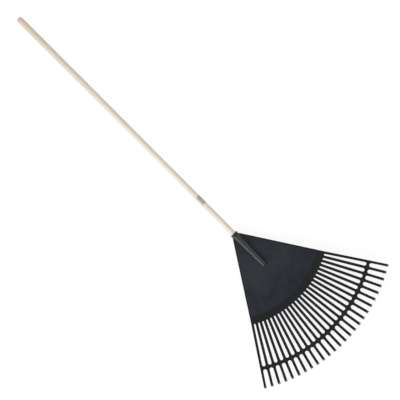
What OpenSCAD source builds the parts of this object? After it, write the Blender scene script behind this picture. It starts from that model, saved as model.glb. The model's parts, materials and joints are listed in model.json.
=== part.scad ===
// Leaf rake: a moulded head of springy tines on a turned wooden handle, a size for lawns and paths.
// It lies top side up on flat ground, resting on its tine tips and on the far end of its handle.
// +X runs from the handle towards the tips, +Z is up, and the origin is at ground level under the
// middle of the whole rake. The head is drawn in its own plane first: its apex is where the centre
// lines of all the tines meet, in the mouth of the socket, and its top face is the plane z = 0.

/* [Head] */
// Number of tines
tine_count = 26; // [12:1:27]
// Angle between neighbouring tines
tine_pitch = 2.69; // [2.5:0.01:2.8]
// Width of a tine
tine_width = 12.5; // [10:0.5:14]
// Thickness of the panel and of a tine's flange
head_t = 3; // [2.8:0.1:4]
// Reach of the panel on the centre line, from the apex to the inner ends of the slots
panel_reach = 395; // [380:1:420]
// Reach of the cross bar's inner edge on the centre line
bar_reach = 584; // [550:1:600]
// Width of the cross bar
bar_width = 14; // [10:1:18]
// Reach of the tine tips on the centre line
tip_reach = 679; // [672:1:710]
// How far behind the apex the rim and the cross bar have their centre
rim_setback = 55; // [20:1:80]
// How far behind the apex the row of tips has its centre
tip_setback = 79; // [40:1:100]

/* [Hooks] */
// Depth of the hooks, square to the head
hook_drop = 57; // [50:1:70]
// Radius of the hook's bend, at the middle of the tine
hook_radius = 15; // [13:0.5:17]
// Angle that the tine has turned down at its tip
hook_angle = 80; // [74:1:86]

/* [Handle] */
// Length of the handle outside the socket
handle_length = 1344; // [1000:1:1500]
// Diameter of the handle in its straight upper part
handle_d = 28; // [26:0.5:32]
// Diameter of the handle at the socket's mouth
neck_d = 24; // [22:0.5:25]
// Length of the straight upper part
grip_length = 300; // [150:1:500]
// Length of the handle inside the socket
insert_length = 156; // [120:1:165]

/* [Socket] */
// Length of the socket from the apex to its blind end
socket_length = 191; // [185:1:220]
// Outer diameter of the socket at its mouth
socket_d = 33.5; // [32.5:0.5:36]
// Angle between the handle and the head's plane
socket_tilt = 1.35; // [0.8:0.05:2]

/* [Label] */
// Length of the label along the handle
label_length = 44; // [30:1:60]
// Angle that the label wraps round the handle
label_wrap = 142; // [90:1:180]

/* [Hidden] */
head_colour = "#262c32";
wood_colour = "#ddd3c0";
label_colour = "#b3aea6";
steel_colour = "#b8bcc0";

half_pitch = tine_pitch / 2;
fan_edge = half_pitch * (tine_count - 1); // azimuth of the outermost tines
overlap = 0.5;        // how far joined solids run into each other
cut_past = 1;         // how far a cut runs past the face that it opens

panel_flare = 11;     // side edge's distance from the outermost centre line at the apex
panel_start = 8;      // the panel's blunt end, in front of the apex
end_steps = 8;        // flats in a slot's round end
joint_gap = 0.3;      // clearance between a tine tip's root and its stub

field_height = 0.8;   // raised middle field of the panel
field_edge = 362;     // its reach on the centre line
field_start = 70;
field_inset = 1.6;    // degrees in from the outermost tines
bead_height = 1.2;    // raised bead and deep flange along the panel's two straight sides
flange_depth = 6;
edge_width = 3;
edge_start = 40;      // where they start
edge_inset = 0.5;     // how far inside the panel's side they start
rib_width = 4;        // stiffening ribs under the tines and the panel
rib_depth = 4.5;
rib_end_depth = 1;    // depth of a tip's rib at its two ends
rib_root = 340;       // where the ribs start under the panel
long_rib_start = 120; // every fifth rib runs back to here
bar_depth = 6;        // full depth of the cross bar
bar_inset = 1;        // its deep part stays this far inside the scallops

tip_t = 2.6;          // a tine tip's flange is a little thinner than its round root
sag_radius = 260;     // gentle downward curve between the root and the hook
sag_angle = 7;
foot_spare = 6;       // the hooks are drawn this much too long, and the ground trims them

socket_z = 1;         // height of the handle's axis over the apex
mouth_back = 4.5;     // the socket's mouth is this far behind the apex
collar_front = 2;
collar_r = 18.25;
socket_end_r = 15.1;  // outer radius at the blind end
socket_lip = 0.85;    // chamfer of the collar and the end
insert_end_r = 10;    // radius of the handle at its inner end
insert_chamfer = 1.5;
bore_gap = 0.15;
core_r = 7;           // hollow beyond the handle's inner end
core_end = 184;

screw_at = 38;        // screw's distance from the apex
screw_r = 2;
screw_tip = 2;        // it ends this far past the handle's axis
screw_seat = 15.4;    // distance of its seat from the handle's axis
screw_head_r = 4.2;
screw_head_h = 2.6;
pilot_r = 1.75;
screw_hole_r = 2.2;
seat_r = 4.8;
drive_slot = [1.2, 4.6, 2.4]; // the cross recess, cut to half its height

label_at = -211;      // middle of the label, from the apex
label_from = -32;     // its first edge, in degrees from the top towards +Y
label_t = 0.3;

$fn = 96;

// The handle's far end and the tips touch the ground together, which sets the angle of the head.
dome_back = handle_length - handle_d / 2;
dome_x = -dome_back * cos(socket_tilt);
dome_z = socket_z + dome_back * sin(socket_tilt);
lie_rise = dome_z + hook_drop;
lie_run = tip_reach - dome_x;
lie_angle = acos(handle_d / 2 / norm([lie_rise, lie_run])) - atan2(lie_run, lie_rise);
lie_z = hook_drop * cos(lie_angle) - tip_reach * sin(lie_angle);
back_x = dome_x * cos(lie_angle) - dome_z * sin(lie_angle) - handle_d / 2;
front_x = tip_reach * cos(lie_angle) + hook_drop * sin(lie_angle);

function tip_name(i) = str("tine_tip_", i < 10 ? "0" : "", i);

// Azimuth of tine i, with tine 1 on the -Y side
function tine_azimuth(i) = tine_pitch * (i - (tine_count + 1) / 2);

// Distance from the apex to a curve of the given middle reach, along an azimuth
function curve_reach(reach, setback, azimuth) =
    sqrt(pow(reach + setback, 2) - pow(setback * sin(azimuth), 2)) - setback * cos(azimuth);

function polar(r, azimuth) = r * [cos(azimuth), sin(azimuth)];

// A point beside a centre line
function beside(along, offset, azimuth) = polar(along, azimuth) + polar(offset, azimuth + 90);

function reversed(points) = [for (k = [len(points) - 1:-1:0]) points[k]];

// A slot's round end touches the two tines beside it. Its bulge is 1 where it points at the tips and
// -1 where it points at the apex.
function end_centre(reach, bulge) =
    (reach + bulge * tine_width / 2) / (1 + bulge * sin(half_pitch));

function slot_end(i, reach, bulge) =
    let (azimuth = tine_azimuth(i) + half_pitch,
        centre = end_centre(curve_reach(reach, rim_setback, azimuth), bulge),
        radius = centre * sin(half_pitch) - tine_width / 2,
        sweep = 180 + 2 * bulge * half_pitch)
    [for (k = [0:end_steps]) let (turn = azimuth + bulge * sweep * (k / end_steps - 0.5))
        polar(centre, azimuth) + polar(bulge * radius, turn)];

// How far along tine i the round end beside it starts, on the side of the higher (1) or lower (-1)
// azimuth
function corner_along(i, side, reach, bulge) =
    let (outermost = side < 0 ? i == 1 : i == tine_count,
        azimuth = tine_azimuth(i) + (outermost ? 0 : side * half_pitch))
    end_centre(curve_reach(reach, rim_setback, azimuth), bulge) * cos(half_pitch);

function corner(i, side, reach, bulge) =
    beside(corner_along(i, side, reach, bulge), side * tine_width / 2, tine_azimuth(i));

// One edge of a band across all the tines: straight on each tine and round in each slot
function scallops(reach, bulge) = concat(
    [corner(1, -1, reach, bulge)],
    [for (i = [1:tine_count - 1]) each slot_end(i, reach, bulge)],
    [corner(tine_count, 1, reach, bulge)]);

// Points along a plain curve of the head, over the given share of its angle
function plain_curve(reach, setback, edge) =
    [for (k = [-tine_count:tine_count]) let (azimuth = edge * k / tine_count)
        polar(curve_reach(reach, setback, azimuth), azimuth)];

// From the head's own plane to the rake as it lies
module lie()
    translate([-(back_x + front_x) / 2, 0, lie_z]) rotate([0, -lie_angle, 0]) children();

// From the handle's axis, as +Z with its zero over the apex, to the head's plane
module on_axis()
    translate([0, 0, socket_z]) rotate([0, 90 + socket_tilt, 0]) children();

// A slab whose outline is in the head's plane
module slab(low, high)
    translate([0, 0, low]) linear_extrude(height = high - low) children();

// ---- handle ----

// Radius of the handle at a distance from the apex along its axis
function handle_r(at) =
    at < grip_length - dome_back ? handle_d / 2
    : at < 0 ? (neck_d + (handle_d - neck_d) * at / (grip_length - dome_back)) / 2
    : neck_d / 2 + (insert_end_r - neck_d / 2) * at / insert_length;

// Outline of the handle, from its domed far end to its inner end
function handle_profile() = concat(
    [for (turn = [0:6:90]) [handle_d / 2 * sin(turn), -dome_back - handle_d / 2 * cos(turn)]],
    [for (at = [grip_length - dome_back, 0, insert_length - insert_chamfer]) [handle_r(at), at]],
    [[insert_end_r - insert_chamfer, insert_length], [0, insert_length]]);

module handle()
    color(wood_colour) lie() on_axis() difference() {
        rotate_extrude() polygon(handle_profile());
        translate([0, 0, screw_at]) rotate([0, 90, 0])
            translate([0, 0, -screw_tip]) cylinder(r = pilot_r, h = handle_d);
    }

module handle_label()
    color(label_colour) lie() on_axis() rotate([0, 0, 180 - label_from - label_wrap])
        rotate_extrude(angle = label_wrap)
            polygon([for (edge = [[0, -1], [label_t, -1], [label_t, 1], [0, 1]])
                let (at = label_at + edge[1] * label_length / 2) [handle_r(at) + edge[0], at]]);

// ---- socket and its screw ----

module socket_outside()
    rotate_extrude() polygon([
        [0, -mouth_back], [collar_r - socket_lip, -mouth_back], [collar_r, socket_lip - mouth_back],
        [collar_r, collar_front - socket_lip], [socket_d / 2, collar_front],
        [socket_end_r, socket_length - 3 * socket_lip],
        [socket_end_r - 2 * socket_lip, socket_length], [0, socket_length]]);

module handle_socket()
    color(head_colour) lie() on_axis() difference() {
        socket_outside();
        rotate_extrude() polygon([
            [0, -mouth_back - cut_past],
            [handle_r(-mouth_back - cut_past) + bore_gap, -mouth_back - cut_past],
            [handle_r(0) + bore_gap, 0], [insert_end_r + bore_gap, insert_length],
            [core_r, insert_length], [core_r, core_end], [0, core_end]]);
        translate([0, 0, screw_at]) rotate([0, 90, 0]) {
            cylinder(r = screw_hole_r, h = socket_d);
            translate([0, 0, screw_seat]) cylinder(r = seat_r, h = socket_d);
        }
    }

module fixing_screw()
    color(steel_colour) lie() on_axis() translate([0, 0, screw_at]) rotate([0, 90, 0])
        difference() {
            union() {
                translate([0, 0, -screw_tip]) cylinder(r = screw_r, h = screw_seat + screw_tip + overlap);
                translate([0, 0, screw_seat]) cylinder(r = screw_head_r, h = screw_head_h);
            }
            for (turn = [0, 90]) rotate([0, 0, turn])
                translate([0, 0, screw_seat + screw_head_h]) cube(drive_slot, center = true);
        }

// ---- head ----

// A straight rib under the head, along an azimuth
module rib(azimuth, from, to)
    rotate([0, 0, azimuth]) translate([from, -rib_width / 2, -head_t - rib_depth])
        cube([to - from, rib_width, rib_depth + overlap]);

// A strip along one straight side of the panel
module side_strip() {
    outer = [beside(edge_start, panel_flare - edge_inset, fan_edge),
        corner(tine_count, 1, panel_reach, -1)];
    run = (outer[1] - outer[0]) / norm(outer[1] - outer[0]);
    inward = edge_width * [run[1], -run[0]];
    polygon([outer[0], outer[0] + inward, outer[1] + inward, outer[1]]);
}

module fan_panel()
    color(head_colour) lie() difference() {
        union() {
            slab(-head_t, 0) polygon(concat([beside(panel_start, -panel_flare, -fan_edge)],
                scallops(panel_reach, -1), [beside(panel_start, panel_flare, fan_edge)]));
            slab(-overlap, field_height) polygon(concat(
                plain_curve(field_edge, rim_setback, fan_edge - field_inset),
                [polar(field_start, fan_edge - 2 * field_inset),
                    polar(field_start, 2 * field_inset - fan_edge)]));
            for (side = [0, 1]) mirror([0, side, 0]) {
                slab(-head_t - flange_depth, -overlap) side_strip();
                slab(-overlap, bead_height) side_strip();
            }
            for (i = [2:tine_count - 1])
                rib(tine_azimuth(i), i % 5 == 1 ? long_rib_start : rib_root,
                    min(corner_along(i, -1, panel_reach, -1), corner_along(i, 1, panel_reach, -1)));
        }
        on_axis() socket_outside();
    }

module tine_shafts()
    color(head_colour) lie() for (i = [1:tine_count]) {
        slab(-head_t, 0) polygon([
            corner(i, -1, panel_reach, -1), corner(i, -1, bar_reach, 1),
            corner(i, 1, bar_reach, 1), corner(i, 1, panel_reach, -1)]);
        rib(tine_azimuth(i),
            max(corner_along(i, -1, panel_reach, -1), corner_along(i, 1, panel_reach, -1)),
            min(corner_along(i, -1, bar_reach, 1), corner_along(i, 1, bar_reach, 1)));
    }

module cross_bar()
    color(head_colour) lie() {
        slab(-head_t, 0) polygon(concat(
            scallops(bar_reach, 1), reversed(scallops(bar_reach + bar_width, -1))));
        slab(-bar_depth, -overlap) polygon(concat(
            plain_curve(bar_reach + bar_inset, rim_setback, fan_edge),
            reversed(plain_curve(bar_reach + bar_width - bar_inset, rim_setback, fan_edge))));
    }

// ---- tine tips ----

// The root's round axis lies just outside the cross bar
function hinge_along(i) = joint_gap + head_t / 2 + max(
    corner_along(i, -1, bar_reach + bar_width, -1), corner_along(i, 1, bar_reach + bar_width, -1));

// Stations [point, angle down] along the middle of tine i's tip, in its own side view: a gentle
// curve, a straight run, the hook's bend and a straight foot. The run has the length that brings
// the foot's outer face to the row of tips just where it meets the ground.
function tip_stations(i) =
    let (reach = curve_reach(tip_reach, tip_setback, tine_azimuth(i)),
        ground = (tip_reach - reach * cos(tine_azimuth(i))) * tan(lie_angle) - hook_drop,
        start = [hinge_along(i), -head_t / 2],
        sagged = start + sag_radius * [sin(sag_angle), cos(sag_angle) - 1],
        bend = hook_radius * [sin(hook_angle) - sin(sag_angle), cos(hook_angle) - cos(sag_angle)],
        left = [reach, ground] - sagged - bend,
        run = (left * [sin(hook_angle), cos(hook_angle)] - tip_t / 2) / sin(hook_angle - sag_angle),
        bend_start = sagged + run * [cos(sag_angle), -sin(sag_angle)],
        bend_end = bend_start + bend,
        foot = (bend_end[1] - ground) / sin(hook_angle) + foot_spare)
    concat(
        [for (k = [0:4]) let (turn = sag_angle * k / 4)
            [start + sag_radius * [sin(turn), cos(turn) - 1], turn]],
        [for (k = [0:8]) let (turn = sag_angle + (hook_angle - sag_angle) * k / 8)
            [bend_start + hook_radius
                * [sin(turn) - sin(sag_angle), cos(turn) - cos(sag_angle)], turn]],
        [[bend_end + foot * [cos(hook_angle), -sin(hook_angle)], hook_angle]]);

// A point beside a station, up and outwards
function off_station(station, offset) = station[0] + offset * [sin(station[1]), cos(station[1])];

module side_extrude(width)
    rotate([90, 0, 0]) linear_extrude(height = width, center = true) children();

module tine_tip(i) {
    stations = tip_stations(i);
    last = len(stations) - 1;
    ribbed = [for (k = [1:last]) stations[k]];
    color(head_colour) difference() {
        lie() rotate([0, 0, tine_azimuth(i)]) {
            side_extrude(tine_width) polygon(concat(
                [for (s = stations) off_station(s, tip_t / 2)],
                reversed([for (s = stations) off_station(s, -tip_t / 2)])));
            side_extrude(rib_width) polygon(concat(
                [for (s = ribbed) s[0]],
                reversed([for (k = [0:last - 1]) off_station(ribbed[k],
                    -tip_t / 2 - (k == 0 || k == last - 1 ? rib_end_depth : rib_depth))])));
            translate([stations[0][0][0], 0, stations[0][0][1]]) rotate([90, 0, 0])
                cylinder(r = head_t / 2, h = tine_width, center = true);
        }
        translate([0, -tip_reach, -hook_drop]) cube([2 * tip_reach, 2 * tip_reach, hook_drop]);
    }
}

handle();
handle_socket();
fan_panel();
tine_shafts();
cross_bar();
fixing_screw();
handle_label();
for (i = [1:tine_count])
    tine_tip(i);
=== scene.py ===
import json
import math

import bpy
from mathutils import Matrix, Vector
from mathutils.geometry import tessellate_polygon

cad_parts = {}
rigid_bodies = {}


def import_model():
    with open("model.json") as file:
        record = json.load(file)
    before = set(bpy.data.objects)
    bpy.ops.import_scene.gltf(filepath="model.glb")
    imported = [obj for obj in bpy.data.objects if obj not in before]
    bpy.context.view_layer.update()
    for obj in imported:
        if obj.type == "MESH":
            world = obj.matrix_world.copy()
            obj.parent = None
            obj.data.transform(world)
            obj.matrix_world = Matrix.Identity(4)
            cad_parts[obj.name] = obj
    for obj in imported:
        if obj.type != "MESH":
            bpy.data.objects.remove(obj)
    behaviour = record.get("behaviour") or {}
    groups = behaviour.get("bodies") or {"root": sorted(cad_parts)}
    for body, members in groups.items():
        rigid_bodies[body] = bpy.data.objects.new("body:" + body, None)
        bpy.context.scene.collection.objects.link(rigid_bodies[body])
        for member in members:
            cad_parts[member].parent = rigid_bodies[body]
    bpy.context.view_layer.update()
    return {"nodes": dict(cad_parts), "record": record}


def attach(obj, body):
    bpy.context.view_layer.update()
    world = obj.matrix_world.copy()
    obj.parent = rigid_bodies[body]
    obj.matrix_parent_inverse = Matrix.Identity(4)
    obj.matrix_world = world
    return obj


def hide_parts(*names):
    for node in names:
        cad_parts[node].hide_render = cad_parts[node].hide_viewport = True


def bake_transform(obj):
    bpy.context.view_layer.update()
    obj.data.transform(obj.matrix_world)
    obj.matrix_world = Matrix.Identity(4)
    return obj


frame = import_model()

# ---- sizes, in metres ----
# The head's own plane has its origin at the apex, where the tines' centre lines meet.

HEAD_T = 0.003
TINE_W = 0.0125
PANEL_REACH = 0.395
BAR_REACH = 0.584
BAR_W = 0.014
RIM_SETBACK = 0.055
PANEL_FLARE = 0.011
PANEL_START = 0.008
EDGE_ROUND = 0.0007
BURIED_ROUND = 0.0002         # for an edge that is hidden inside the head
SUPPORT = 0.0003              # width of the flat band beside a rounded edge
SIDE_STEP = 0.03              # longest face along the head's sides, and along the bead
BEAD_STEP = 0.01
CURVE_STEPS = 60
MITRE_LIMIT = 0.5             # a sharp corner is moved by at most the inset over this
SHARP_ANGLE = math.radians(38)
EDGE_TINE_OUTER = 0.0054      # the outermost tines are narrower on their outer side
FIELD_REACH = 0.362
FIELD_HEIGHT = 0.0008
FIELD_MARGIN = 0.0065
FIELD_FROM = 0.05             # shares of the panel's side that the field runs along
FIELD_TO = 0.93
BEAD_W = 0.003
BEAD_HEIGHT = 0.0012
BEAD_ROUND = 0.0011
FLANGE_DEPTH = 0.009
FLANGE_ROUND = 0.0006
EDGE_START = 0.04             # the bead and the flange start here and grow to full size
EDGE_INSET = 0.0005
EDGE_GROWTH = 0.05
RIB_W = 0.004
RIB_DEPTH = 0.0045
RIB_ROUND = 0.001
RIB_ROOT = 0.34
LONG_RIB_START = 0.12
LONG_RIB_EVERY = 5
BAR_DEPTH = 0.006
BAR_ROUND = 0.0012
BAR_INSET = 0.001
SLOT_STEPS = 14

TIP_T = 0.0026
TIP_ROOT = 0.013              # a tine tip starts this far inside the bar
TIP_REACH = 0.679
TIP_SETBACK = 0.079
HOOK_RADIUS = 0.015
HOOK_ANGLE = math.radians(80)
SAG_RADIUS = 0.26
SAG_ANGLE = math.radians(7)
SAG_STEPS = 7
HOOK_STEPS = 12
RUN_SHARES = (0.33, 0.67)     # stations on the straight before the hook, and on the straight after it
FOOT_SHARES = (0.25, 0.5, 0.75, 0.93)
FOOT_ROUND = 0.0006
FOOT_SCALE = 0.9
TIP_SIDE_GAP = 0.0001
TIP_EDGE = 0.0008
TIP_CROWN = 0.00015
CROWN_DROP = 0.3              # share of the crown that is lost halfway to the side
RIB_FILLET = 0.0005
RIB_DRAFT = 0.0002
RIB_END_SHARE = 0.3           # share of a rib's depth at its root and at its foot that is shaped
RIB_FOOT = 0.6
RIB_FADE_FROM = 0.8           # a tip's rib loses this share of its depth from here to the foot
RIB_FADE = 0.75
TIP_WAIST = 0.0059            # half width of a tip between its root and its hook
TIP_ROOT_SHARE = 0.09         # shares of a tip's length: where it starts to narrow, and for how long
TIP_WAIST_SHARE = 0.62
FLEX_BEFORE = 0.004           # extra rings stand this far and half this far before the hinge

HANDLE_R = 0.014
HANDLE_SEGMENTS = 64
HANDLE_STEPS = 60
DOME_STEPS = 14
POLE_R = 0.00001              # the dome closes on a tiny ring
NECK_R = 0.012
HANDLE_LENGTH = 1.344
GRIP_LENGTH = 0.3
INSERT_LENGTH = 0.156
INSERT_END_R = 0.01
SOCKET_Z = 0.001
SOCKET_TILT = math.radians(1.35)
SOCKET_LENGTH = 0.191
SOCKET_R = 0.01675
SOCKET_END_R = 0.0151
SOCKET_END_ROUND = 0.004
SOCKET_END_RINGS = (0.006, 0.002)
SOCKET_SEGMENTS = 72
SOCKET_STEPS = 12
COLLAR_R = 0.0181
MOUTH_BACK = 0.0045
COLLAR_FRONT = 0.002
COLLAR_FILLET = (0.0003, 0.0005)
LIP = 0.0009
BORE_GAP = 0.00015
BORE_SHOWN = 0.03             # past this the handle hides the bore, so it narrows into the wood
BORE_NARROWING = 0.0006

LABEL_AT = -0.211
LABEL_LENGTH = 0.044
LABEL_FROM = math.radians(-32)
LABEL_WRAP = math.radians(142)
LABEL_T = 0.0003
LABEL_GAP = 0.00002
LABEL_CORNER = 0.12           # share of half the label's length
LABEL_ACROSS = 40
LABEL_ALONG = 16

# ---- where things are: from the tines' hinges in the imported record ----

joints = sorted(frame["record"]["behaviour"]["joints"], key=lambda joint: joint["name"])
hinges = [Vector(joint["pos_m"]) for joint in joints]
axes = [Vector(joint["axis"]).normalized() for joint in joints]
root_body = joints[0]["parent"]
count = len(joints)

normal = axes[0].cross(axes[-1]).normalized()
directions = [normal.cross(axis) for axis in axes]
forward = (directions[0] + directions[-1]).normalized()
left = normal.cross(forward)
apex = hinges[0] - directions[0] * (hinges[0].y / directions[0].y) + normal * HEAD_T / 2
HEAD = Matrix((forward, left, normal)).transposed().to_4x4()
HEAD.translation = apex
azimuths = [math.atan2(d.dot(left), d.dot(forward)) for d in directions]
hinge_along = [(h - apex).dot(d) for h, d in zip(hinges, directions)]
pitch = (azimuths[-1] - azimuths[0]) / (count - 1)
half_pitch = pitch / 2
fan_edge = azimuths[-1]
AXIS = HEAD @ Matrix.Translation((0, 0, SOCKET_Z)) @ Matrix.Rotation(SOCKET_TILT + math.pi / 2, 4, "Y")


def polar(r, azimuth):
    return Vector((r * math.cos(azimuth), r * math.sin(azimuth)))


def beside(along, offset, azimuth):
    """A point beside a centre line of the head."""
    return polar(along, azimuth) + polar(offset, azimuth + math.pi / 2)


def curve_reach(reach, setback, azimuth):
    """Distance from the apex to a curve of the given middle reach."""
    sideways = setback * math.sin(azimuth)
    return math.sqrt((reach + setback) ** 2 - sideways ** 2) - setback * math.cos(azimuth)


def end_centre(reach, bulge):
    """Where a slot's round end has its centre, if the end is at this reach."""
    return (reach + bulge * TINE_W / 2) / (1 + bulge * math.sin(half_pitch))


def slot_end(gap, reach, bulge):
    """Round end of a slot. Bulge is 1 where it points at the tips and -1 where it points at the apex."""
    azimuth = azimuths[gap] + half_pitch
    centre = end_centre(curve_reach(reach, RIM_SETBACK, azimuth), bulge)
    radius = centre * math.sin(half_pitch) - TINE_W / 2
    sweep = math.pi + 2 * bulge * half_pitch
    turns = [azimuth + bulge * sweep * (k / SLOT_STEPS - 0.5) for k in range(SLOT_STEPS + 1)]
    return [polar(centre, azimuth) + polar(bulge * radius, turn) for turn in turns]


def outer_corner(side, reach, bulge):
    """Outer side of an outermost tine, level with the round ends of the slots at this reach."""
    along = end_centre(curve_reach(reach, RIM_SETBACK, fan_edge), bulge) * math.cos(half_pitch)
    return beside(along, side * EDGE_TINE_OUTER, side * fan_edge)


def subdivided(points, step):
    """The same open line with its long stretches divided."""
    out = [points[0]]
    for a, b in zip(points, points[1:]):
        parts = max(1, math.ceil((b - a).length / step))
        out += [a.lerp(b, k / parts) for k in range(1, parts + 1)]
    return out


# ---- meshes ----

class Shape:
    """Vertices and faces of one piece, with how much each vertex is worn."""

    def __init__(self):
        self.verts, self.faces, self.worn = [], [], []

    def add(self, verts, faces, worn=None):
        base = len(self.verts)
        self.verts += [tuple(v) for v in verts]
        self.faces += [tuple(base + k for k in face) for face in faces]
        self.worn += worn or [0.0] * len(verts)

    def slab(self, loops, rings):
        """A slab with rounded edges. Loops run with their material on the left, and rings are
        (inset, height, wear) from the top face down to the bottom face."""
        verts, worn, starts, faces = [], [], [], []
        for inset, height, wear in rings:
            starts.append(len(verts))
            for loop in loops:
                verts += [Vector((p.x, p.y, height)) for p in inset_loop(loop, inset)]
            worn += [wear] * (len(verts) - len(worn))
        for upper, lower in zip(starts, starts[1:]):
            first = 0
            for loop in loops:
                n = len(loop)
                for k in range(n):
                    a, b = first + k, first + (k + 1) % n
                    faces.append((upper + a, lower + a, lower + b, upper + b))
                first += n
        for start, flip in ((starts[0], False), (starts[-1], True)):
            caps, at = [], start
            for loop in loops:
                caps.append(verts[at:at + len(loop)])
                at += len(loop)
            for a, b, c in tessellate_polygon(caps):
                corner = caps_point(caps, a)
                up = (caps_point(caps, b) - corner).cross(caps_point(caps, c) - corner).z > 0
                face = (a, b, c) if up != flip else (a, c, b)
                faces.append(tuple(start + k for k in face))
        self.add(verts, faces, worn)

    def tube(self, rings):
        """A skin over rings that all have the same number of points, closed at both ends."""
        n = len(rings[0])
        verts = [p for ring in rings for p in ring]
        faces = [(r * n + k, r * n + (k + 1) % n, (r + 1) * n + (k + 1) % n, (r + 1) * n + k)
                 for r in range(len(rings) - 1) for k in range(n)]
        faces.append(tuple(reversed(range(n))))
        faces.append(tuple(range(len(verts) - n, len(verts))))
        self.add(verts, faces)

    def object(self, name, matrix, material):
        """The piece itself, with its points taken from the matrix's frame into the shared one."""
        mesh = bpy.data.meshes.new(name)
        mesh.from_pydata(self.verts, [], self.faces)
        mesh.transform(matrix)
        mesh.update()
        attribute = mesh.attributes.new("worn", "FLOAT", "POINT")
        attribute.data.foreach_set("value", self.worn)
        mesh.shade_smooth()
        mesh.set_sharp_from_angle(angle=SHARP_ANGLE)
        mesh.materials.append(material)
        piece = bpy.data.objects.new(name, mesh)
        bpy.context.scene.collection.objects.link(piece)
        return piece


def caps_point(caps, index):
    """A point by its number in all the caps together."""
    for cap in caps:
        if index < len(cap):
            return cap[index]
        index -= len(cap)


def inset_loop(loop, inset):
    """The loop moved to its left by the inset, with mitred corners."""
    out = []
    for before, at, after in zip(loop[-1:] + loop[:-1], loop, loop[1:] + loop[:1]):
        a, b = (at - before).normalized(), (after - at).normalized()
        na, nb = Vector((-a.y, a.x)), Vector((-b.y, b.x))
        mitre = (na + nb).normalized()
        out.append(at + mitre * inset / max(MITRE_LIMIT, mitre.dot(na)))
    return out


def rounded(top, bottom, top_round=EDGE_ROUND, bottom_round=EDGE_ROUND, steps=3):
    """Rings of a slab whose upper and lower edges are rounded."""
    rings = [(top_round + SUPPORT, top, 0.0)]
    for k in range(steps + 1):
        turn = math.pi / 2 * k / steps
        inset, height = top_round * (1 - math.sin(turn)), top - top_round * (1 - math.cos(turn))
        rings.append((inset, height, math.sin(2 * turn)))
    for k in range(steps + 1):
        turn = math.pi / 2 * (1 - k / steps)
        inset, height = bottom_round * (1 - math.sin(turn)), bottom + bottom_round * (1 - math.cos(turn))
        rings.append((inset, height, 0.0))
    return rings + [(bottom_round + SUPPORT, bottom, 0.0)]


def strip(a, b, width):
    """Outline of a straight strip to the left of the line from a to b."""
    along = (b - a).normalized()
    across = Vector((-along.y, along.x)) * width
    line = subdivided([a, b], BEAD_STEP)
    return line + [p + across for p in reversed(line)]


def mirrored(loop):
    """The line or loop on the other side of the head's middle, still with its material on the left."""
    return [Vector((p.x, -p.y)) for p in reversed(loop)]


def head_outline():
    """The whole moulding from the apex to the bar, seen from above, with the outermost tines' outer
    sides straight."""
    right = [beside(PANEL_START, -PANEL_FLARE, -fan_edge), outer_corner(-1, PANEL_REACH, -1),
             outer_corner(-1, BAR_REACH + BAR_W, -1)]
    front = [point for gap in range(count - 1) for point in slot_end(gap, BAR_REACH + BAR_W, -1)]
    return subdivided(right, SIDE_STEP) + front + subdivided(mirrored(right), SIDE_STEP)


def slot_hole(gap):
    """A closed slot, clockwise so that its material is on the left."""
    inner = slot_end(gap, PANEL_REACH, -1)
    outer = slot_end(gap, BAR_REACH, 1)
    return inner + list(reversed(outer))


def plain_curve(reach, edge):
    """Points of a curve of the given middle reach, from one edge's azimuth to the other's."""
    turns = [edge * (2 * k / CURVE_STEPS - 1) for k in range(CURVE_STEPS + 1)]
    return [polar(curve_reach(reach, RIM_SETBACK, turn), turn) for turn in turns]


def rib_outline(azimuth, start, end):
    return [beside(start, -RIB_W / 2, azimuth), beside(end, -RIB_W / 2, azimuth),
            beside(end, RIB_W / 2, azimuth), beside(start, RIB_W / 2, azimuth)]


def make_head(material):
    """Panel, tine shafts and cross bar as the one moulding that they are, with the ribs below."""
    shape = Shape()
    shape.slab([head_outline()] + [slot_hole(gap) for gap in range(count - 1)], rounded(0, -HEAD_T))
    bar = (plain_curve(BAR_REACH + BAR_W - BAR_INSET, fan_edge)
           + list(reversed(plain_curve(BAR_REACH + BAR_INSET, fan_edge))))
    shape.slab([bar], rounded(-HEAD_T / 2, -BAR_DEPTH, BURIED_ROUND, BAR_ROUND))
    rim = end_centre(PANEL_REACH, -1)
    for tine, azimuth in enumerate(azimuths):
        outermost = tine in (0, count - 1)
        inner = LONG_RIB_START if tine % LONG_RIB_EVERY == 0 else RIB_ROOT
        start = rim if outermost else inner
        end = curve_reach(BAR_REACH, RIM_SETBACK, azimuth) + BAR_W / 2
        rings = rounded(-HEAD_T / 2, -HEAD_T - RIB_DEPTH, BURIED_ROUND, RIB_ROUND)
        shape.slab([rib_outline(azimuth, start, end)], rings)
    start = beside(EDGE_START, -PANEL_FLARE + EDGE_INSET, -fan_edge)
    side = strip(start, outer_corner(-1, PANEL_REACH, -1), BEAD_W)
    for loop in (side, mirrored(side)):
        base = len(shape.verts)
        shape.slab([loop], rounded(BEAD_HEIGHT, -FLANGE_DEPTH, BEAD_ROUND, FLANGE_ROUND, steps=4))
        for k in range(base, len(shape.verts)):
            x, y, z = shape.verts[k]
            grown = min(1.0, max(0.0, (x - start.x) / EDGE_GROWTH))
            shape.verts[k] = (x, y, z * grown - (1 - grown) * HEAD_T / 2)
    return shape.object("rake_head", HEAD, material)


def field_outline():
    """The panel's raised middle field, a constant margin inside the straight sides."""
    inner = beside(PANEL_START, -PANEL_FLARE + FIELD_MARGIN, -fan_edge)
    outer = beside(PANEL_REACH, -TINE_W / 2 + FIELD_MARGIN, -fan_edge)
    start, corner = inner.lerp(outer, FIELD_FROM), inner.lerp(outer, FIELD_TO)
    edge = math.atan2(-corner.y, corner.x)
    rim = plain_curve(FIELD_REACH, edge)
    return [start] + rim + [Vector((start.x, -start.y))]


def make_field(material):
    shape = Shape()
    shape.slab([field_outline()], rounded(FIELD_HEIGHT, -HEAD_T / 2, EDGE_ROUND, BURIED_ROUND))
    return shape.object("panel_field", HEAD, material)


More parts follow.
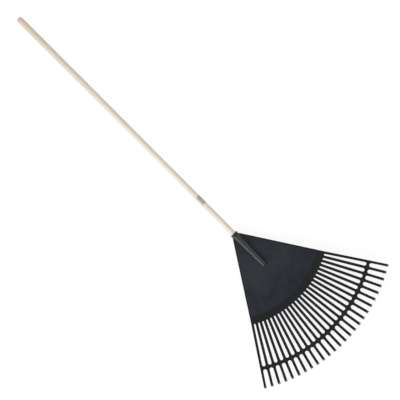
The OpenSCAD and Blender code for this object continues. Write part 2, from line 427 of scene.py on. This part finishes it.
def lathe(profile, segments):
    """Rings about +Z through (radius, z) points."""
    return [[Vector((r * math.cos(2 * math.pi * k / segments), r * math.sin(2 * math.pi * k / segments), z))
             for k in range(segments)] for r, z in profile]


def arc(centre, radius, start, end, steps):
    return [(centre[0] + radius * math.cos(start + (end - start) * k / steps),
             centre[1] + radius * math.sin(start + (end - start) * k / steps)) for k in range(steps + 1)]


def make_socket(material):
    """The tube that the handle goes into, with a collar at its mouth and a blunt closed end."""
    bore = NECK_R + BORE_GAP
    quarter = math.pi / 2
    profile = [(bore - BORE_NARROWING, BORE_SHOWN), (bore, -MOUTH_BACK + LIP)]
    profile += arc((bore + LIP, -MOUTH_BACK + LIP), LIP, math.pi, math.pi * 1.5, 4)
    profile += arc((COLLAR_R - LIP, -MOUTH_BACK + LIP), LIP, -quarter, 0, 4)
    profile += arc((COLLAR_R - LIP, COLLAR_FRONT - LIP), LIP, 0, quarter, 4)[:-1]
    tube_start = COLLAR_FRONT + COLLAR_FILLET[1]
    profile += [(SOCKET_R + COLLAR_FILLET[0], COLLAR_FRONT), (SOCKET_R, tube_start)]
    straight = SOCKET_LENGTH - SOCKET_END_ROUND
    for k in range(1, SOCKET_STEPS + 1):
        share = k / SOCKET_STEPS
        r = SOCKET_R + (SOCKET_END_R - SOCKET_R) * share
        profile.append((r, tube_start + (straight - tube_start) * share))
    profile += arc((SOCKET_END_R - SOCKET_END_ROUND, straight), SOCKET_END_ROUND, 0, quarter, 6)[1:]
    profile += [(r, SOCKET_LENGTH) for r in SOCKET_END_RINGS]
    shape = Shape()
    shape.tube(lathe(profile, SOCKET_SEGMENTS))
    return shape.object("socket_tube", AXIS, material)


def handle_radius(at):
    """Full width over the grip, then a slow taper to the socket's mouth at 0 and a faster one inside it."""
    taper_start = GRIP_LENGTH - HANDLE_LENGTH + HANDLE_R
    if at < taper_start:
        return HANDLE_R
    if at < 0:
        return NECK_R + (HANDLE_R - NECK_R) * at / taper_start
    return NECK_R + (INSERT_END_R - NECK_R) * at / INSERT_LENGTH


def make_handle(material):
    dome = -HANDLE_LENGTH + HANDLE_R
    profile = [(max(POLE_R, HANDLE_R * math.sin(turn)), dome - HANDLE_R * math.cos(turn))
               for turn in [math.pi / 2 * k / DOME_STEPS for k in range(DOME_STEPS + 1)]]
    for k in range(1, HANDLE_STEPS + 1):
        at = dome + (INSERT_LENGTH - dome) * k / HANDLE_STEPS
        profile.append((handle_radius(at), at))
    shape = Shape()
    shape.tube(lathe(profile, HANDLE_SEGMENTS))
    return shape.object("wooden_handle", AXIS, material)


def label_layer(height):
    """Points of one face of the label, row by row along the handle, with its corners drawn in."""
    ratio = LABEL_WRAP * NECK_R / LABEL_LENGTH
    straight_s, straight_t = 1 - LABEL_CORNER / ratio, 1 - LABEL_CORNER
    points = []
    for i in range(LABEL_ALONG + 1):
        for k in range(LABEL_ACROSS + 1):
            s, t = 2 * k / LABEL_ACROSS - 1, 2 * i / LABEL_ALONG - 1
            over_s, over_t = (abs(s) - straight_s) * ratio, abs(t) - straight_t
            if over_s > 0 and over_t > 0:
                scale = max(over_s, over_t) / math.hypot(over_s, over_t)
                s = math.copysign(straight_s + over_s * scale / ratio, s)
                t = math.copysign(straight_t + over_t * scale, t)
            at = LABEL_AT + t * LABEL_LENGTH / 2
            turn = math.pi - (LABEL_FROM + LABEL_WRAP * (s + 1) / 2)
            r = handle_radius(at) + height
            points.append(Vector((r * math.cos(turn), r * math.sin(turn), at)))
    return points


def make_label(material):
    """A plain paper label that wraps part of the way round, with rounded corners."""
    below, above = label_layer(LABEL_GAP), label_layer(LABEL_T)
    n, row = len(below), LABEL_ACROSS + 1
    faces = []
    for i in range(LABEL_ALONG):
        for k in range(LABEL_ACROSS):
            a = i * row + k
            faces.append((a, a + row, a + row + 1, a + 1))
            faces.append((n + a, n + a + 1, n + a + row + 1, n + a + row))
    rim = ([k for k in range(LABEL_ACROSS)] + [i * row + LABEL_ACROSS for i in range(LABEL_ALONG)]
           + [LABEL_ALONG * row + k for k in range(LABEL_ACROSS, 0, -1)]
           + [i * row for i in range(LABEL_ALONG, 0, -1)])
    for a, b in zip(rim, rim[1:] + rim[:1]):
        faces.append((a, b, n + b, n + a))
    shape = Shape()
    shape.add(below + above, faces)
    return shape.object("paper_label", AXIS, material)


def tip_stations(tine):
    """(point, angle down) along the middle of a tine tip, in its own side view, from inside the bar
    to just above the ground."""
    azimuth = azimuths[tine]
    reach = curve_reach(TIP_REACH, TIP_SETBACK, azimuth)
    direction = directions[tine]
    ground = -(apex + direction * reach).z / normal.z
    start = Vector((hinge_along[tine], -HEAD_T / 2))
    sagged = start + SAG_RADIUS * Vector((math.sin(SAG_ANGLE), math.cos(SAG_ANGLE) - 1))
    bend = HOOK_RADIUS * Vector((math.sin(HOOK_ANGLE) - math.sin(SAG_ANGLE),
                                 math.cos(HOOK_ANGLE) - math.cos(SAG_ANGLE)))
    remaining = Vector((reach, ground)) - sagged - bend
    outward = Vector((math.sin(HOOK_ANGLE), math.cos(HOOK_ANGLE)))
    run = (remaining.dot(outward) - TIP_T / 2) / math.sin(HOOK_ANGLE - SAG_ANGLE)
    bend_start = sagged + run * Vector((math.cos(SAG_ANGLE), -math.sin(SAG_ANGLE)))
    bend_end = bend_start + bend
    stations = [(start - Vector((back, 0)), 0.0) for back in (TIP_ROOT, FLEX_BEFORE, FLEX_BEFORE / 2)]
    for k in range(SAG_STEPS + 1):
        turn = SAG_ANGLE * k / SAG_STEPS
        stations.append((start + SAG_RADIUS * Vector((math.sin(turn), math.cos(turn) - 1)), turn))
    stations += [(sagged.lerp(bend_start, share), SAG_ANGLE) for share in RUN_SHARES]
    for k in range(HOOK_STEPS + 1):
        turn = SAG_ANGLE + (HOOK_ANGLE - SAG_ANGLE) * k / HOOK_STEPS
        stations.append((bend_start + HOOK_RADIUS * Vector((math.sin(turn) - math.sin(SAG_ANGLE),
                                                            math.cos(turn) - math.cos(SAG_ANGLE))), turn))
    down = Vector((math.cos(HOOK_ANGLE), -math.sin(HOOK_ANGLE)))
    length = (bend_end.y - ground) / math.sin(HOOK_ANGLE)
    stations += [(bend_end + down * length * share, HOOK_ANGLE) for share in FOOT_SHARES]
    return stations


def tip_section(half_low, half_high, rib_depth):
    """Rounded T section as (across, up) points: a crowned flange with a rib below."""
    half, rib = TIP_T / 2, RIB_W / 2
    shoulder = half - TIP_CROWN - TIP_EDGE
    halfway = half - TIP_CROWN * CROWN_DROP
    points = arc((half_high - TIP_EDGE, shoulder), TIP_EDGE, 0, math.pi / 2, 3)
    points += [(half_high / 2, halfway), (0.0, half), (-half_low / 2, halfway)]
    points += arc((-half_low + TIP_EDGE, shoulder), TIP_EDGE, math.pi / 2, math.pi, 3)
    points += [(-half_low, -half + TIP_EDGE), (-half_low + TIP_EDGE, -half)]
    low, shaped = -half - rib_depth, RIB_END_SHARE * rib_depth
    rib_side = [(rib * RIB_FOOT, low), (rib - RIB_DRAFT, low + shaped),
                (rib, -half - min(RIB_FILLET, shaped)), (rib + RIB_FILLET, -half)]
    points += [(-across, up) for across, up in reversed(rib_side)] + rib_side
    points += [(half_high - TIP_EDGE, -half), (half_high, -half + TIP_EDGE)]
    return points


def make_tip(tine, material):
    """A tine tip from inside the bar to the ground, where its foot is cut level."""
    azimuth = azimuths[tine]
    stations = tip_stations(tine)
    total = sum((b[0] - a[0]).length for a, b in zip(stations, stations[1:]))
    wide = TINE_W / 2 - TIP_SIDE_GAP
    narrower = TINE_W / 2 - EDGE_TINE_OUTER
    travelled, rings, before = 0.0, [], stations[0][0]
    for point, turn in stations:
        travelled += (point - before).length
        before = point
        share = travelled / total
        waist = math.sin(math.pi * min(1.0, max(0.0, (share - TIP_ROOT_SHARE) / TIP_WAIST_SHARE)))
        half = wide - (wide - TIP_WAIST) * math.sqrt(max(0.0, waist))
        low = half - narrower if tine == 0 else half
        high = half - narrower if tine == count - 1 else half
        faded = RIB_FADE * max(0.0, share - RIB_FADE_FROM) / (1 - RIB_FADE_FROM)
        up = Vector((math.sin(turn), math.cos(turn)))
        ring = []
        for across, height in tip_section(low, high, RIB_DEPTH * (1 - faded)):
            place = point + up * height
            flat = beside(place.x, across, azimuth)
            ring.append(HEAD @ Vector((flat.x, flat.y, place.y)))
        rings.append(ring)
    last = rings[-1]
    down = (last[0] - rings[-2][0]).normalized()
    middle = sum(last, Vector()) / len(last)
    for height, scale in ((FOOT_ROUND, 1.0), (0.0, FOOT_SCALE)):
        scaled = [middle + (p - middle) * scale for p in last]
        rings.append([q + down * ((height - q.z) / down.z) for q in scaled])
    shape = Shape()
    shape.tube([list(reversed(ring)) for ring in rings])
    return shape.object(f"tine_end_{tine + 1:02d}", Matrix.Identity(4), material)


# ---- materials ----

class Nodes:
    """Short names for building a material's nodes."""

    def __init__(self, name):
        self.material = bpy.data.materials.new(name)
        self.material.use_nodes = True
        self.tree = self.material.node_tree
        self.shader = self.tree.nodes["Principled BSDF"]
        self.place = self.tree.nodes.new("ShaderNodeTexCoord").outputs["Object"]

    def new(self, kind, **values):
        node = self.tree.nodes.new(kind)
        for key, value in values.items():
            setattr(node, key, value)
        return node

    def link(self, a, b):
        self.tree.links.new(a, b)

    def stretched(self, scale):
        mapping = self.new("ShaderNodeMapping")
        mapping.inputs["Scale"].default_value = scale
        self.link(self.place, mapping.inputs["Vector"])
        return mapping.outputs["Vector"]

    def noise(self, scale, detail=4.0, stretch=(1, 1, 1), roughness=0.55, distortion=0.0):
        node = self.new("ShaderNodeTexNoise")
        node.inputs["Scale"].default_value = scale
        node.inputs["Detail"].default_value = detail
        node.inputs["Roughness"].default_value = roughness
        node.inputs["Distortion"].default_value = distortion
        self.link(self.stretched(stretch), node.inputs["Vector"])
        return node.outputs["Fac"]

    def voronoi(self, scale):
        node = self.new("ShaderNodeTexVoronoi")
        node.inputs["Scale"].default_value = scale
        self.link(self.place, node.inputs["Vector"])
        return node.outputs["Distance"]

    def span(self, value, low, high, to_low=0.0, to_high=1.0):
        node = self.new("ShaderNodeMapRange")
        self.link(value, node.inputs["Value"])
        for key, number in zip(("From Min", "From Max", "To Min", "To Max"), (low, high, to_low, to_high)):
            node.inputs[key].default_value = number
        return node.outputs["Result"]

    def mix(self, factor, a, b, blend="MIX"):
        node = self.new("ShaderNodeMix", data_type="RGBA", blend_type=blend)
        if isinstance(factor, float):
            node.inputs[0].default_value = factor
        else:
            self.link(factor, node.inputs[0])
        for socket, value in ((node.inputs[6], a), (node.inputs[7], b)):
            if isinstance(value, tuple):
                socket.default_value = (*value, 1.0)
            else:
                self.link(value, socket)
        return node.outputs[2]

    def math(self, kind, a, b):
        node = self.new("ShaderNodeMath", operation=kind)
        for socket, value in zip(node.inputs, (a, b)):
            if isinstance(value, float):
                socket.default_value = value
            else:
                self.link(value, socket)
        return node.outputs[0]

    def attribute(self, name):
        return self.new("ShaderNodeAttribute", attribute_name=name).outputs["Fac"]

    def axis(self, letter):
        node = self.new("ShaderNodeSeparateXYZ")
        self.link(self.place, node.inputs[0])
        return node.outputs[letter]

    def bump(self, layers):
        """Layers of (height, distance), the coarsest first."""
        before = None
        for height, distance in layers:
            node = self.new("ShaderNodeBump")
            node.inputs["Strength"].default_value = 1.0
            node.inputs["Distance"].default_value = distance
            self.link(height, node.inputs["Height"])
            if before:
                self.link(before, node.inputs["Normal"])
            before = node.outputs["Normal"]
        self.link(before, self.shader.inputs["Normal"])

    def colour(self, value):
        self.link(value, self.shader.inputs["Base Color"])

    def rough(self, value):
        self.link(value, self.shader.inputs["Roughness"])


def plastic(name, dark, light, haze, rough, grain, gloss, wave):
    """Moulded black polypropylene: cloudy tone, fine grain, paler scuffed edges and specks of dust."""
    n = Nodes(name)
    cloud = n.span(n.noise(16, 6, roughness=0.6, distortion=0.4), 0.36, 0.64)
    tone = n.mix(cloud, dark, light)
    patch = n.span(n.noise(3.1, 3), 0.52, 0.7, 0.0, 0.55)
    tone = n.mix(patch, tone, haze)
    scuff = n.math("MULTIPLY", n.attribute("worn"), n.span(n.noise(60, 4), 0.35, 0.75, 0.05, 0.55))
    tone = n.mix(scuff, tone, (0.07, 0.08, 0.09))
    dust = n.span(n.noise(700, 2), 0.71, 0.8, 0.0, 0.5)
    tone = n.mix(dust, tone, (0.13, 0.14, 0.145))
    n.colour(tone)
    n.rough(n.span(n.noise(38, 5), 0.3, 0.7, *rough))
    n.shader.inputs["Specular IOR Level"].default_value = gloss
    n.bump([(n.noise(14, 3), wave), (n.voronoi(650), 0.00016 * grain), (n.noise(1500, 2), 0.00005 * grain)])
    return n.material


def pale_wood():
    """Turned softwood: straight grain along the handle, fine pores, a darker far end and thin varnish."""
    n = Nodes("turned_pale_wood")
    streaks = n.noise(1, 8, (5, 190, 190), 0.6, 0.6)
    fibres = n.noise(1, 4, (22, 900, 900), 0.7)
    bands = n.noise(1, 3, (1.1, 34, 34), 0.5, 0.8)
    tone = n.mix(n.span(streaks, 0.34, 0.68), (0.84, 0.78, 0.67), (0.74, 0.65, 0.50))
    tone = n.mix(n.span(fibres, 0.45, 0.78, 0.0, 0.3), tone, (0.60, 0.49, 0.34))
    tone = n.mix(n.span(bands, 0.45, 0.7, 0.0, 0.4), tone, (0.86, 0.82, 0.73))
    far = n.span(n.axis("X"), -0.45, -1.0, 0.0, 0.65)
    tone = n.mix(far, tone, (0.70, 0.54, 0.37))
    n.colour(tone)
    n.rough(n.span(streaks, 0.3, 0.7, 0.36, 0.52))
    n.shader.inputs["Coat Weight"].default_value = 0.15
    n.shader.inputs["Coat Roughness"].default_value = 0.3
    n.bump([(streaks, 0.00012), (fibres, 0.00008)])
    return n.material


def grey_paper():
    """Plain grey label with a darker rubbed middle and paper fibre."""
    n = Nodes("grey_label_paper")
    fibre = n.noise(900, 3)
    rubbed = n.noise(120, 5)
    tone = n.mix(n.span(rubbed, 0.35, 0.65), (0.36, 0.35, 0.325), (0.50, 0.48, 0.44))
    tone = n.mix(n.span(fibre, 0.4, 0.7, 0.0, 0.25), tone, (0.6, 0.58, 0.54))
    n.colour(tone)
    n.rough(n.span(rubbed, 0.3, 0.7, 0.45, 0.7))
    n.bump([(fibre, 0.00004)])
    return n.material


def zinc_steel():
    """Zinc-plated steel with fine turning marks and a dull bloom."""
    n = Nodes("zinc_plated_steel")
    bloom = n.noise(260, 4)
    marks = n.noise(1, 2, (2600, 300, 300))
    n.colour(n.mix(n.span(bloom, 0.35, 0.7), (0.62, 0.63, 0.64), (0.42, 0.42, 0.41)))
    n.shader.inputs["Metallic"].default_value = 1.0
    n.rough(n.span(marks, 0.3, 0.7, 0.28, 0.5))
    n.bump([(bloom, 0.00005), (marks, 0.00002)])
    return n.material


# ---- the pieces ----

plate_plastic = plastic(
    "black_moulding_plastic", dark=(0.0025, 0.0035, 0.005), light=(0.006, 0.0075, 0.010),
    haze=(0.009, 0.011, 0.014), rough=(0.38, 0.54), grain=0.6, gloss=0.26, wave=0.0006)
field_plastic = plastic(
    "grained_panel_plastic", dark=(0.004, 0.007, 0.013), light=(0.014, 0.019, 0.027),
    haze=(0.026, 0.031, 0.040), rough=(0.48, 0.66), grain=1.4, gloss=0.28, wave=0.0012)
tube_plastic = plastic(
    "smooth_socket_plastic", dark=(0.009, 0.011, 0.013), light=(0.018, 0.020, 0.021),
    haze=(0.026, 0.027, 0.027), rough=(0.25, 0.37), grain=0.5, gloss=0.5, wave=0.0001)


def settle(piece, nodes):
    """Puts a piece on the rake's own body, in place of the CAD nodes it stands for."""
    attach(piece, root_body)
    if nodes:
        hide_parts(*nodes)


settle(make_head(plate_plastic), ["fan_panel", "tine_shafts", "cross_bar"])
settle(make_field(field_plastic), [])
settle(make_socket(tube_plastic), ["handle_socket"])
settle(make_handle(pale_wood()), ["handle"])
settle(make_label(grey_paper()), ["handle_label"])

for tine in range(count):
    tip = make_tip(tine, plate_plastic)
    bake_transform(tip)
    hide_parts(f"tine_tip_{tine + 1:02d}")

screw = frame["nodes"]["fixing_screw"]
screw_finish = zinc_steel()
for material_slot in screw.material_slots:
    material_slot.material = screw_finish

# ---- floor, light and camera ----

CAMERA_BACK = 0.2134          # the view's middle is this far behind the apex
CAMERA_TURN = math.radians(45)
CAMERA_HEIGHT = 10.0
VIEW_WIDTH = 1.76
SENSOR = 36
FLOOR_HALF = 9.0
FLOOR_DROP = 0.0002
FLOOR_GREY = 0.16
FLOOR_GLOW = 0.87
ROOM_SPAN = (-0.9, 0.6)       # the room's light goes from bright to dim over this part of its Y axis
ROOM_BRIGHT = 0.76
ROOM_DIM = 0.4


def make_floor():
    n = Nodes("pale_floor")
    n.shader.inputs["Base Color"].default_value = (FLOOR_GREY, FLOOR_GREY, FLOOR_GREY, 1)
    n.shader.inputs["Roughness"].default_value = 0.9
    n.shader.inputs["Emission Color"].default_value = (1, 1, 1, 1)
    n.shader.inputs["Emission Strength"].default_value = FLOOR_GLOW
    signs = ((-1, -1), (1, -1), (1, 1), (-1, 1))
    mesh = bpy.data.meshes.new("floor")
    mesh.from_pydata([(x * FLOOR_HALF, y * FLOOR_HALF, -FLOOR_DROP) for x, y in signs], [], [(0, 1, 2, 3)])
    mesh.materials.append(n.material)
    floor = bpy.data.objects.new("floor", mesh)
    bpy.context.scene.collection.objects.link(floor)


def area_light(name, power, place, target, size_x, size_y):
    """A rectangular soft box that faces its target."""
    data = bpy.data.lights.new(name, "AREA")
    data.shape, data.size, data.size_y, data.energy = "RECTANGLE", size_x, size_y, power
    lamp = bpy.data.objects.new(name, data)
    lamp.location = place
    lamp.rotation_euler = (Vector(target) - Vector(place)).to_track_quat("-Z", "Y").to_euler()
    bpy.context.scene.collection.objects.link(lamp)


def make_world():
    """A soft room that is brighter on the -Y side, where the main light comes from."""
    world = bpy.data.worlds.new("soft_room")
    world.use_nodes = True
    bpy.context.scene.world = world
    tree = world.node_tree
    coordinate = tree.nodes.new("ShaderNodeTexCoord")
    split = tree.nodes.new("ShaderNodeSeparateXYZ")
    ramp = tree.nodes.new("ShaderNodeMapRange")
    tree.links.new(coordinate.outputs["Generated"], split.inputs[0])
    tree.links.new(split.outputs["Y"], ramp.inputs["Value"])
    numbers = (*ROOM_SPAN, ROOM_BRIGHT, ROOM_DIM)
    for key, number in zip(("From Min", "From Max", "To Min", "To Max"), numbers):
        ramp.inputs[key].default_value = number
    tree.links.new(ramp.outputs["Result"], tree.nodes["Background"].inputs["Strength"])
    tree.nodes["Background"].inputs["Color"].default_value = (1.0, 1.0, 1.0, 1)


def make_camera():
    """A far camera straight above the rake, turned so that the handle's end is at the picture's top left."""
    data = bpy.data.cameras.new("camera")
    data.sensor_width = SENSOR
    data.lens = SENSOR * CAMERA_HEIGHT / VIEW_WIDTH
    data.clip_start, data.clip_end = 0.1, 60
    camera = bpy.data.objects.new("camera", data)
    middle = apex - forward * CAMERA_BACK
    camera.location = (middle.x, middle.y, CAMERA_HEIGHT)
    camera.rotation_euler = (0, 0, CAMERA_TURN)
    bpy.context.scene.collection.objects.link(camera)
    bpy.context.scene.camera = camera


make_floor()
make_world()
area_light("key", power=95, place=(0.3, -4.0, 3.0), target=(0.3, 0, 0), size_x=3.2, size_y=1.6)
area_light("fill", power=60, place=(-0.5, 2.5, 5.0), target=(0, 0, 0), size_x=3, size_y=3)
make_camera()
bpy.context.scene.view_settings.view_transform = "Standard"
